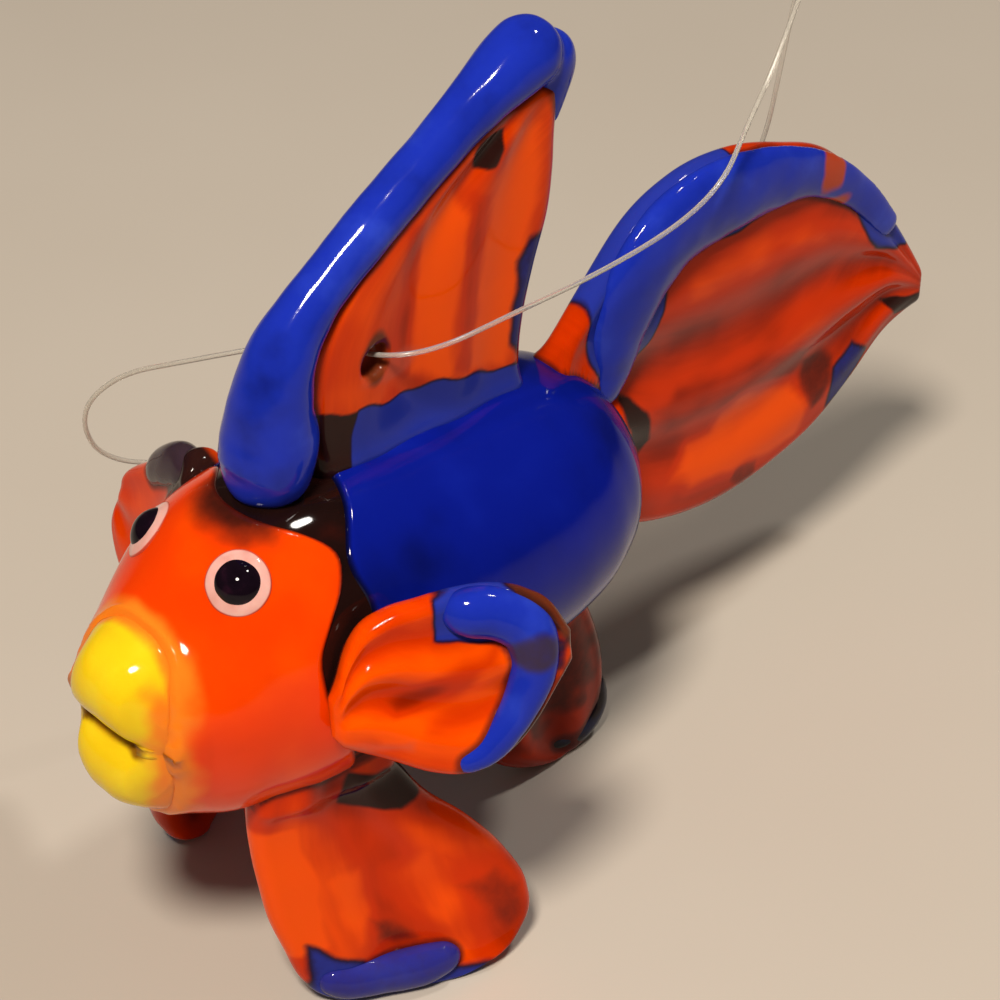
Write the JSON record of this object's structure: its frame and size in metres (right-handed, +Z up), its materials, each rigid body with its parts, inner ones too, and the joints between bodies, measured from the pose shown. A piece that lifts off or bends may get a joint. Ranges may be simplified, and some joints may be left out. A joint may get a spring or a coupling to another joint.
{
  "type": "glass fish figurine",
  "caption": "Hand-drawn glass fish ornament with pleated fins, a tall swept dorsal fin and a fanned tail, standing on three fin tips, with a nylon loop for hanging.",
  "frame": {"origin": "on the surface that the fish stands on, under the middle of its outline", "axes": "+Z up, -Y towards the fish's nose, +X towards the fish's left side"},
  "size_m": [0.0443, 0.0896, 0.0712],
  "materials": {
    "smoky_clear_glass": "fire polished",
    "cobalt_glass": "fire polished",
    "orange_glass": "fire polished",
    "streaked_orange_glass": "fire polished",
    "yellow_glass": "fire polished",
    "white_glass": "fire polished",
    "black_glass": "fire polished",
    "dark_glass": "fire polished",
    "clear_nylon": "smooth"
  },
  "bodies": {
    "root": {"glass_core": "smoky_clear_glass", "blue_body": "cobalt_glass", "orange_head": "orange_glass", "upper_lip": "yellow_glass", "lower_lip": "yellow_glass", "left_eye_white": "white_glass", "right_eye_white": "white_glass", "left_pupil": "black_glass", "right_pupil": "black_glass", "dorsal_web": "streaked_orange_glass", "dorsal_blue_edge": "cobalt_glass", "tail_web": "streaked_orange_glass", "tail_blue_edge": "cobalt_glass", "left_pectoral_web": "streaked_orange_glass", "left_pectoral_blue_edge": "cobalt_glass", "right_pectoral_web": "streaked_orange_glass", "right_pectoral_blue_edge": "cobalt_glass", "left_pelvic_web": "streaked_orange_glass", "left_pelvic_blue_edge": "cobalt_glass", "right_pelvic_web": "streaked_orange_glass", "right_pelvic_blue_edge": "cobalt_glass", "anal_web": "streaked_orange_glass", "anal_dark_edge": "dark_glass", "thread_left_strand": "clear_nylon", "thread_right_strand": "clear_nylon", "thread_knot": "clear_nylon"}
  },
  "joints": []
}
